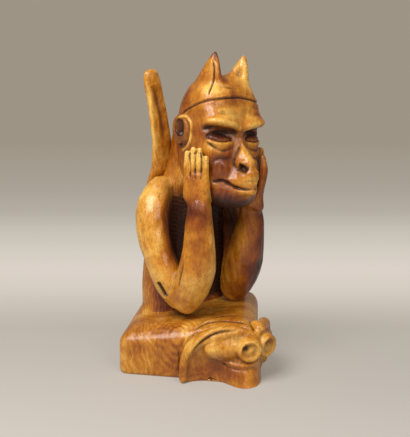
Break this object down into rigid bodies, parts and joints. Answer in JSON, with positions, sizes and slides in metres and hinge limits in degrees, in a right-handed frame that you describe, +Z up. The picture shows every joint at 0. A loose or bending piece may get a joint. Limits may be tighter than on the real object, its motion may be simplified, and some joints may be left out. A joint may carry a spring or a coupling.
{
  "type": "carved wooden gargoyle",
  "caption": "Crouching horned ape gargoyle with raised wings, cheeks resting in its hands and elbows on a rounded corner ledge with a rolled leaf and curled buds.",
  "frame": {"origin": "on the floor, under the middle of the whole carving's bounding box", "axes": "+Z up, the figure looks along -Y, +X towards the figure's own left hand"},
  "size_m": [0.268, 0.2808, 0.458],
  "materials": {
    "sapwood": "clear gloss lacquer",
    "heartwood": "clear gloss lacquer"
  },
  "bodies": {
    "root": {"ledge_block": "sapwood", "corner_leaf": "sapwood", "right_bud": "sapwood", "left_bud": "sapwood", "trunk": "heartwood", "head": "heartwood", "right_horn": "heartwood", "left_horn": "sapwood", "right_upper_arm": "sapwood", "left_upper_arm": "heartwood", "right_forearm": "sapwood", "left_forearm": "heartwood", "right_wing": "sapwood", "left_wing": "heartwood"}
  },
  "joints": []
}
